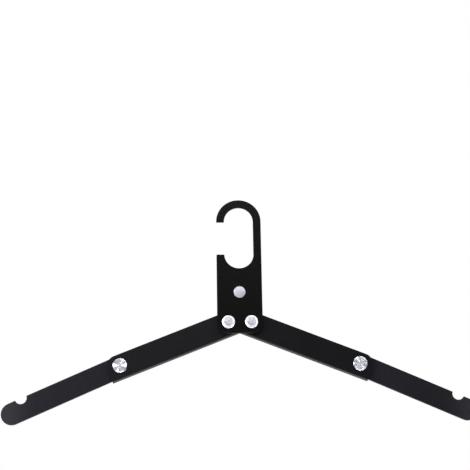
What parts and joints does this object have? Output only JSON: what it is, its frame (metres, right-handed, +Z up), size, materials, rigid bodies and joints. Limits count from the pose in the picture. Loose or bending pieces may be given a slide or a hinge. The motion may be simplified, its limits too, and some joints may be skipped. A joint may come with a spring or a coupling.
{
  "type": "folding travel hanger",
  "caption": "Flat metal clothes hanger whose channel arms fold up behind a hook plate and whose outer arms fold back into the channels.",
  "frame": {"origin": "where the hook rests on a rod: the top of the slot, on the hanger's middle line, in the middle of the plate's thickness", "axes": "+Z up as the hanger hangs, +X to the right seen from the front, -Y towards the front, where the bright heads are; the hook's mouth opens to -X"},
  "size_m": [0.4156, 0.0137, 0.2014],
  "materials": {
    "plate_black": "satin black anodised",
    "arm_black": "satin black anodised, bent sheet",
    "bar_black": "satin black anodised bar",
    "bright_metal": "nickel plated, turned faces",
    "washer_black": "black nylon"
  },
  "bodies": {
    "hook": {"hook_plate": "plate_black", "centre_pin": "bright_metal", "left_pivot_washer": "washer_black", "right_pivot_washer": "washer_black"},
    "left_channel": {"left_inner_arm": "arm_black", "left_pivot_rivet": "bright_metal", "left_arm_post": "bright_metal", "left_arm_screw": "bright_metal"},
    "right_channel": {"right_inner_arm": "arm_black", "right_pivot_rivet": "bright_metal", "right_arm_post": "bright_metal", "right_arm_screw": "bright_metal"},
    "left_bar": {"left_outer_arm": "bar_black", "left_front_shim": "washer_black", "left_back_shim": "washer_black"},
    "right_bar": {"right_outer_arm": "bar_black", "right_front_shim": "washer_black", "right_back_shim": "washer_black"}
  },
  "joints": [
    {"name": "left_inner_fold", "type": "hinge", "parent": "hook", "child": "left_channel", "pos_m": [-0.01025, 0, -0.10615], "axis": [0, 1, 0], "range_deg": [0, 111.5]},
    {"name": "right_inner_fold", "type": "hinge", "parent": "hook", "child": "right_channel", "pos_m": [0.01025, 0, -0.10615], "axis": [0, -1, 0], "range_deg": [0, 111.5]},
    {"name": "left_outer_fold", "type": "hinge", "parent": "left_channel", "child": "left_bar", "pos_m": [-0.10562, 0.00615, -0.14372], "axis": [0, 1, 0], "range_deg": [0, 182.2]},
    {"name": "right_outer_fold", "type": "hinge", "parent": "right_channel", "child": "right_bar", "pos_m": [0.10562, 0.00615, -0.14372], "axis": [0, -1, 0], "range_deg": [0, 182.2]}
  ]
}
